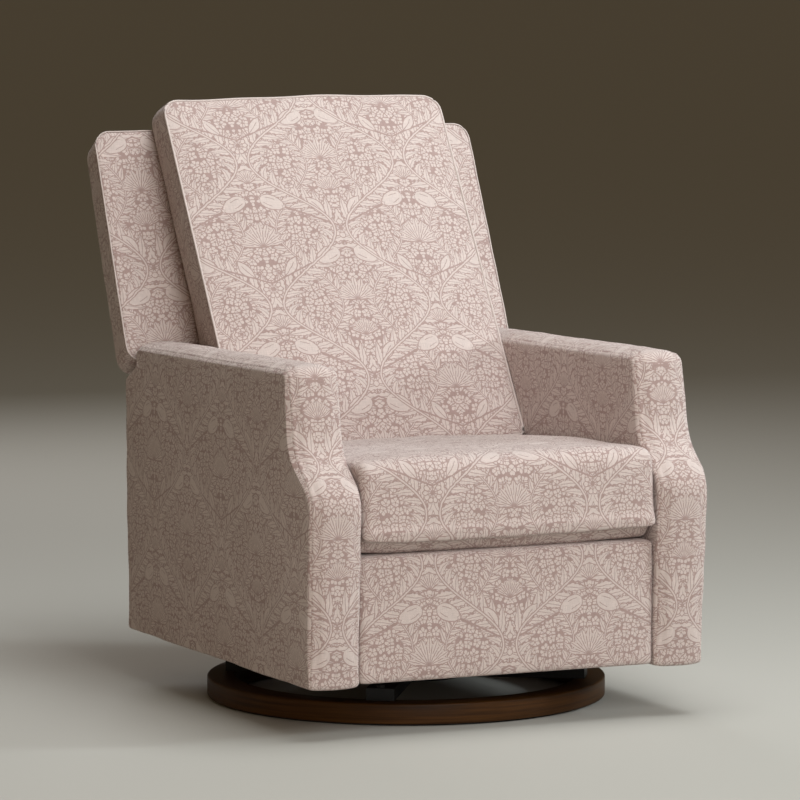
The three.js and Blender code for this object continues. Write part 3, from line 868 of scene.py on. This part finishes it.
def make_arm(side):
    low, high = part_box("arm_" + side)
    front, rear = low.y + ARM_SETBACK, high.y
    bottom, top = low.z - ARM_HEM, high.z
    corners = [
        (front, bottom, 0.007),
        (rear, bottom, 0.010),
        (rear, bottom + ARM_REAR_NOTCH[0], 0.012),
        (rear - 0.058, bottom + ARM_REAR_NOTCH[1], 0.010),
        (rear - 0.043, top - 0.014, 0.034),
        (front + 0.086, top, 0.020),
        (front + ARM_STEP, bottom + ARM_NECK, 0.034),
        (front - ARM_LEAN, bottom + ARM_KNEE, 0.034),
    ]
    half = (high.x - low.x) / 2
    arm = slab("arm_cover_" + side, corners, half, ARM_EDGES, ARM_CROWN, 0.005, 0.006)
    points = read_points(arm)
    outside = points[:, 0] * (low.x + high.x) > 0
    reach = np.array([high.y - low.y, high.z - low.z]) / 2
    middle = np.array([high.y + low.y, high.z + low.z]) / 2
    share = np.clip(np.abs(points[:, 1:] - middle) / reach, 0, 1)
    on_face = np.abs(points[:, 0]) > half - 0.001
    swell = (1 - share[:, 0] ** 4) * (1 - share[:, 1] ** 4) * on_face
    points[:, 0] += np.sign(points[:, 0]) * swell * np.where(outside, *ARM_SWELL)
    tuck = ARM_TUCK * np.clip((middle[1] - points[:, 2]) / reach[1], 0, 1)
    points[:, 0] -= np.sign(points[:, 0]) * outside * tuck
    points += read_normals(arm) * ripple(points, 0.0012)[:, None]
    points[:, 0] += (low.x + high.x) / 2
    write_points(arm, points)
    if low.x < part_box("release_cup")[0].x < high.x:
        cut_pocket(arm)
    dress(arm, "seat", "print_fabric", "arm_" + side)


def cut_pocket(arm):
    """Makes room in an arm for the release cup, which has a flange round its mouth."""
    low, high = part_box("release_cup")
    flange = Vector((-0.005, 0.0045, 0.0045))
    low, high = low + flange, high - flange
    corners = [(x, y, z) for x in (low.x, high.x) for y in (low.y, high.y) for z in (low.z, high.z)]
    sides = [(0, 1, 3, 2), (4, 6, 7, 5), (0, 4, 5, 1), (2, 3, 7, 6), (0, 2, 6, 4), (1, 5, 7, 3)]
    cutter = make_mesh("pocket_cutter", corners, sides, smooth=False)
    pocket = arm.modifiers.new("pocket", "BOOLEAN")
    pocket.operation = "DIFFERENCE"
    pocket.solver = "EXACT"
    pocket.object = cutter
    apply_modifiers(arm)
    bpy.data.objects.remove(cutter)


def make_seat_cushion():
    low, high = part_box("seat_cushion")
    front, rear = low.y, high.y
    bottom, top = low.z, high.z
    seam = bottom + SEAT_STRIP
    corners = [
        (front + 0.034, bottom - 0.006, 0.008),
        (rear, bottom, 0.016),
        (rear, top - 0.020, 0.030),
        ((front + rear) / 2 + 0.03, top - 0.001, 0.090),
        (front + SEAT_PROUD, top + 0.006, 0.034),
        (front - SEAT_PROUD, seam + 0.001, 0.003),
        (front + 0.016, seam - 0.003, 0.0025),
    ]
    half = (high.x - low.x) / 2 + SEAT_WIDER
    shape = (corners, half - 0.002, SEAT_EDGES, 0.005)
    cushion = slab("seat_cushion_cover", *shape, 0.0025, 0.010, sewn=False)
    before = read_points(cushion)
    above = before[:, 2] - seam
    free = (above > 0.012) & (np.abs(before[:, 0]) < half - 0.02) & (before[:, 1] < rear - 0.03)
    inflate(cushion, (~free).astype(float), most=0.010, pressure=2.5)
    points = read_points(cushion)
    points += read_normals(cushion) * ripple(points, 0.0022, 0.15)[:, None]
    at_front = before[:, 1] < front + 0.02
    points[:, 1] -= 0.003 * np.exp(-(((above - 0.014) / 0.009) ** 2)) * at_front
    points[:, 0] = np.clip(points[:, 0], -half, half)
    write_points(cushion, points)
    dress(cushion, "seat", "print_fabric", "seat_cushion")


def round_corners(points, half_x, half_z, upper, lower):
    """Rounds a pad's four corners in its own plane, by one radius above and another below."""
    for sign, radius in ((1, upper), (-1, lower)):
        x, z = np.abs(points[:, 0]), points[:, 2] * sign
        dx, dz = x - (half_x - radius), z - (half_z - radius)
        near = (dx > 0) & (dz > 0)
        shrink = np.maximum(dx, dz) / np.maximum(np.hypot(dx, dz), 1e-9)
        new_x = (half_x - radius + dx * shrink) * np.sign(points[:, 0])
        new_z = (half_z - radius + dz * shrink) * sign
        points[near, 0] = new_x[near]
        points[near, 2] = new_z[near]
    return points


def make_flat_pad(name, low, high, outward, crown, radius, body, *nodes):
    """A thin upholstered panel between two corners; outward is the y sign of its padded face."""
    size = high - low
    pad, place = box_pad(name, size, 0.006)
    points = round_corners(read_points(pad), size.x / 2, size.z / 2, radius, radius)
    swell = crown * (1 - place[:, 0] ** 4) * (1 - place[:, 2] ** 4)
    points[:, 1] += outward * swell * (place[:, 1] * outward > 0.99)
    points += np.array((low + high) / 2)
    points += read_normals(pad) * (ripple(points, 0.0005) * (place[:, 1] * outward > 0.9))[:, None]
    write_points(pad, points)
    shift_print(pad, 0.0, (low.z + high.z) / 2)
    subdivide(pad)
    dress(pad, body, "print_fabric", *nodes)


def make_footrest():
    """The footrest's cushion and board, in one cover that is folded round to the board's back."""
    front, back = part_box("footrest_pad"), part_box("footrest_board")
    low = front[0] - Vector((FOOTREST_WIDER, FOOTREST_FORWARD, FOOTREST_HEM))
    high = Vector((front[1].x + FOOTREST_WIDER, back[1].y, front[1].z - FOOTREST_LOWER))
    nodes = ("footrest_pad", "footrest_board")
    make_flat_pad("footrest_cover", low, high, -1, 0.006, 0.004, "footrest_panel", *nodes)


def make_rails():
    """Fabric over the seat's timber rails, which show when the footrest is out."""
    skin = Vector((-0.0002, 0.0015, 0.0015))  # it ends just short of the rails' own ends
    for rail in ("front_rail", "rear_rail", "side_rail_left", "side_rail_right"):
        node = "seat_" + rail
        low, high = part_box(node)
        make_flat_pad(node + "_cover", low - skin, high + skin, -1, 0.0, 0.004, "seat", node)


# -------- back
SHELL_FRONT = -0.032  # depths behind the recline pivot, square to the leaning back
SHELL_REAR = 0.043
SHELL_TOP = 0.726
WING_BOTTOM = 0.272
SHELL_BOTTOM = -0.022
FRAME_HALF = 0.262  # half the width of the shell's timber frame
FULL_SETBACK = 0.040  # how far inside the wing's side the setback is complete
SHELL_TAPER = 0.010  # how much narrower the shell's middle is than its front, as a share
CUSHION_BOTTOM = 0.024
CUSHION_TOP = 0.744
CUSHION_FACE_LOW = -0.208
CUSHION_FACE_HIGH = -0.134
CUSHION_CROWN = 0.016
CUSHION_BLANK = 0.14  # its depth as a box, before its face and rear are placed
CUSHION_TOP_WAVE = 0.0045
back_place = Matrix.Translation(recline_at) @ Matrix.Rotation(-LEAN, 4, "X")


def stand_on_back(points):
    """Points given as (x, depth, height up the back), turned to the back's lean."""
    return points @ np.array(back_place.to_3x3()).T + np.array(back_place.translation)


def front_rim(place, points):
    """The points round a box pad's front edge, in order."""
    on_edge = (place[:, 1] < -0.999) & (np.abs(place[:, [0, 2]]).max(axis=1) > 0.999)
    rim = np.nonzero(on_edge)[0]
    angle = np.arctan2(place[rim, 2], place[rim, 0])
    return points[rim[np.argsort(angle)]]


def make_shell_part(name, *nodes, width, flare, setback, bottom, top, upper, lower, crown):
    """A padded part of the back's shell, which stands for some CAD nodes.

    At its bottom it is wider by its flare on each side, and its outer parts are set further back.
    upper and lower are corner radii.
    """
    size = Vector((width, SHELL_REAR - SHELL_FRONT, top - bottom))
    pad, place = box_pad(name, size, 0.006)
    points = round_corners(read_points(pad), size.x / 2, size.z / 2, upper, lower)
    face = np.abs(place[:, 1]) > 0.99
    swell = crown * (1 - place[:, 0] ** 6) * (1 - place[:, 2] ** 6) * np.sign(place[:, 1])
    points[:, 1] += swell * face
    points[:, 0] *= 1 - SHELL_TAPER * (place[:, 1] + 1) + flare / width * (1 - place[:, 2])
    way_out = np.abs(points[:, 0]) - FRAME_HALF
    outer = smooth(np.clip(way_out / (width / 2 - FULL_SETBACK - FRAME_HALF), 0, 1))
    thicker = 1.2 + 0.2 * place[:, 1]  # the rear is set back more than the front
    points[:, 1] += setback * (1 - place[:, 2]) / 2 * thicker * outer
    points += read_normals(pad) * ripple(points, 0.0008, 0.2)[:, None]
    points[:, 1] += (SHELL_FRONT + SHELL_REAR) / 2
    points[:, 2] += (bottom + top) / 2
    points = stand_on_back(points)
    write_points(pad, points)
    shift_print(pad, 0.0, (bottom + top) / 2)
    piping = tube(name + "_piping", front_rim(place, points), PIPING * 0.7)
    dress(piping, "back", "print_fabric", finish="piping")
    subdivide(pad)
    dress(pad, "back", "print_fabric", *nodes)


def shape_back_cushion(points, place, width, height):
    """A box pad's points as the back cushion's, and their share of the way up."""
    crown = CUSHION_CROWN * (1 - np.abs(place[:, 0]) ** 3) * (1 - np.abs(place[:, 2]) ** 3)
    share = (points[:, 1] / CUSHION_BLANK) + 0.5  # from its face to its rear
    up = points[:, 2] / height + 0.5
    face = CUSHION_FACE_LOW + (CUSHION_FACE_HIGH - CUSHION_FACE_LOW) * up
    rear = SHELL_FRONT - 0.002
    points[:, 1] = face + share * (rear - face) - crown * (place[:, 1] < -0.99)
    pull = 0.022 - 0.014 * np.clip(up * 2 - 1, 0, 1)  # how far the sides lean in to the rear
    spread = 0.008 - 0.002 * up
    points[:, 0] *= 1 + (spread * (1 - share) - pull * share) / (width / 2)
    points[:, 2] += height / 2 + CUSHION_BOTTOM + 0.022 * share * up**6
    return points, up


def make_back_cushion():
    """The thick cushion in front of the shell, with piping round its face."""
    low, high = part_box("back_cushion")
    width = high.x - low.x
    height = CUSHION_TOP - CUSHION_BOTTOM
    pad, place = box_pad("back_cushion_cover", (width, CUSHION_BLANK, height), 0.010)
    points = round_corners(read_points(pad), width / 2, height / 2, 0.034, 0.014)
    points, up = shape_back_cushion(points, place, width, height)
    write_points(pad, points)
    edge_of_box = (np.abs(place) > 0.999).sum(axis=1) >= 2
    sewn = edge_of_box | (place[:, 1] > 0.99)
    inflate(pad, sewn.astype(float), most=0.014, pressure=3.0)
    points = read_points(pad)
    points += read_normals(pad) * (ripple(points, 0.0028, 0.17) * ~sewn)[:, None]
    lift = CUSHION_TOP_WAVE * waves(points * np.array([1, 0, 0]), 0.21)
    points[:, 2] += lift * np.clip(up * 4 - 3, 0, 1) ** 2
    points = stand_on_back(points)
    write_points(pad, points)
    shift_print(pad, 0.0, CUSHION_BOTTOM + height / 2)
    piping = tube("back_cushion_piping", front_rim(place, points), PIPING)
    dress(piping, "back", "print_fabric", finish="piping")
    subdivide(pad)
    dress(pad, "back", "print_fabric", "back_cushion")


# -------- base and metal parts
SIDED_PARTS = ["hanger_bracket", "side_plate", "arm_spacer", "front_glide_link", "rear_glide_link"]
SIDED_PARTS += ["recline_bracket"]
SIDED_PARTS += ["footrest_" + part for part in ("crank", "guide", "arm", "rod", "bracket")]
EDGED_PARTS = ["release_cup", "release_handle", "base_cross", "swivel_plate"]
EDGED_PARTS += [part + "_" + side for part in SIDED_PARTS for side in ("left", "right")]
EDGE_RADIUS = 0.0012
SHARP_EDGE = math.radians(35)
FLAT_EDGE = math.radians(1)
RING_WIDTH = 0.052
RING_EDGE = 0.0035


def make_ring():
    """The wooden floor ring, with rounded edges."""
    low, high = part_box("base_ring")
    outer = (high.x - low.x) / 2
    inner = outer - RING_WIDTH
    bottom, top = low.z, high.z
    profile = []
    corners = ((outer, bottom, -90), (outer, top, 0), (inner, top, 90), (inner, bottom, 180))
    for r, z, start in corners:
        inward = np.array([-1 if r == outer else 1, 1 if z == bottom else -1]) * RING_EDGE
        for angle in np.radians(np.linspace(start, start + 90, 5)):
            corner = np.array([r, z]) + inward
            profile.append(corner + RING_EDGE * np.array([math.cos(angle), math.sin(angle)]))
    ring = lathe("base_ring_wood", profile)
    ring.location.y = swivel_y
    dress(ring, "base", "dark_wood", "base_ring")


def make_hard_part(node):
    """A CAD part again, with its sharp edges rounded."""
    mesh = frame["nodes"][node].data.copy()
    part = bpy.data.objects.new(node + "_part", mesh)
    bpy.context.scene.collection.objects.link(part)
    work = bmesh.new()
    work.from_mesh(mesh)
    bmesh.ops.dissolve_limit(
        work,
        angle_limit=FLAT_EDGE,
        verts=work.verts,
        edges=work.edges,
        use_dissolve_boundaries=False,
    )
    work.to_mesh(mesh)
    work.free()
    bevel = part.modifiers.new("bevel", "BEVEL")
    bevel.width = EDGE_RADIUS
    bevel.segments = 3
    bevel.limit_method = "ANGLE"
    bevel.angle_limit = SHARP_EDGE
    apply_modifiers(part)
    part.data.shade_smooth()
    part.data.set_sharp_from_angle(angle=SHARP_EDGE)
    dress(part, body_of_node[node], slot_of_node[node], node)


# -------- scene
FLOOR_HALF = 70.0
LIGHTS = [  # name, place, size, power, tint
    ("key", (-0.2, -4.4, 2.8), 1.4, 55.0, (0.95, 0.98, 1.0)),
    ("side", (3.6, -1.9, 1.5), 0.6, 80.0, (0.87, 0.96, 1.0)),
    ("top", (0.4, -0.7, 3.4), 2.0, 82.0, (0.92, 0.975, 1.0)),
    ("front", (-0.9, -4.6, 1.5), 1.8, 58.0, (1.0, 0.945, 0.905)),
    ("left", (-3.8, -2.0, 1.4), 1.6, 6.5, (1.0, 0.66, 0.34)),
    ("rear", (0.6, 4.2, 2.6), 2.0, 44.0, (0.98, 0.98, 1.0)),
]
LIGHTS_AIM = (0.0, swivel_y, 0.55)
SKY_STRENGTH = 0.13
CAMERA_AZIMUTH = math.radians(-24.98)
CAMERA_ELEVATION = math.radians(5.81)
CAMERA_DISTANCE = 9.701
CAMERA_AIM_HEIGHT = 0.5379
CAMERA_AIM_LEFT = 0.0110  # of the swivel axis
LENS_MM = 241.7
SENSOR_MM = 36


def make_floor():
    half = FLOOR_HALF
    corners = [(-half, -half, 0), (half, -half, 0), (half, half, 0), (-half, half, 0)]
    floor = make_mesh("floor", corners, [(0, 1, 2, 3)], smooth=False)
    finish = Finish("pale_floor", roughness=0.8)
    colour(finish.shader.inputs["Base Color"], (0.44, 0.425, 0.385))
    floor.data.materials.append(finish.material)


def add_light(name, place, size, power, tint):
    light = bpy.data.lights.new(name, "AREA")
    light.size = size
    light.energy = power
    light.color = tint
    lamp = bpy.data.objects.new(name, light)
    bpy.context.scene.collection.objects.link(lamp)
    lamp.location = place
    aim = Vector(LIGHTS_AIM) - Vector(place)
    lamp.rotation_euler = aim.to_track_quat("-Z", "Y").to_euler()


def make_lights():
    for light in LIGHTS:
        add_light(*light)
    world = bpy.data.worlds.new("studio")
    world.use_nodes = True
    sky = world.node_tree.nodes["Background"]
    colour(sky.inputs["Color"], (0.95, 0.75, 0.50))
    sky.inputs["Strength"].default_value = SKY_STRENGTH
    bpy.context.scene.world = world
    bpy.context.scene.view_settings.view_transform = "Standard"


def make_camera():
    azimuth, elevation = CAMERA_AZIMUTH, CAMERA_ELEVATION
    back = Vector((
        math.sin(azimuth) * math.cos(elevation),
        -math.cos(azimuth) * math.cos(elevation),
        math.sin(elevation),
    ))
    right = Vector((math.cos(azimuth), math.sin(azimuth), 0))
    target = Vector((0, swivel_y, CAMERA_AIM_HEIGHT)) - right * CAMERA_AIM_LEFT
    camera = bpy.data.objects.new("camera", bpy.data.cameras.new("camera"))
    bpy.context.scene.collection.objects.link(camera)
    camera.data.lens = LENS_MM
    camera.data.sensor_width = SENSOR_MM
    camera.location = target + back * CAMERA_DISTANCE
    camera.rotation_euler = (-back).to_track_quat("-Z", "Y").to_euler()
    camera.data.clip_end = 100
    bpy.context.scene.camera = camera


make_camera()
make_lights()
make_floor()
dress_cad_nodes()
make_ring()
for side in ("left", "right"):
    make_arm(side)
make_seat_cushion()
make_footrest()
make_rails()
make_flat_pad("rear_panel_cover", *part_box("rear_panel"), 1, 0.003, 0.006, "seat", "rear_panel")
make_shell_part(
    "back_shell_wings", "back_shell", width=0.772, flare=0.007, setback=0.015,
    bottom=WING_BOTTOM, top=SHELL_TOP, upper=0.032, lower=0.030, crown=0.004,
)
make_shell_part(
    "back_shell_lower", width=0.562, flare=0.0, setback=0.0,
    bottom=SHELL_BOTTOM, top=WING_BOTTOM + 0.003, upper=0.012, lower=0.012, crown=0.002,
)
make_back_cushion()
for node in EDGED_PARTS:
    make_hard_part(node)
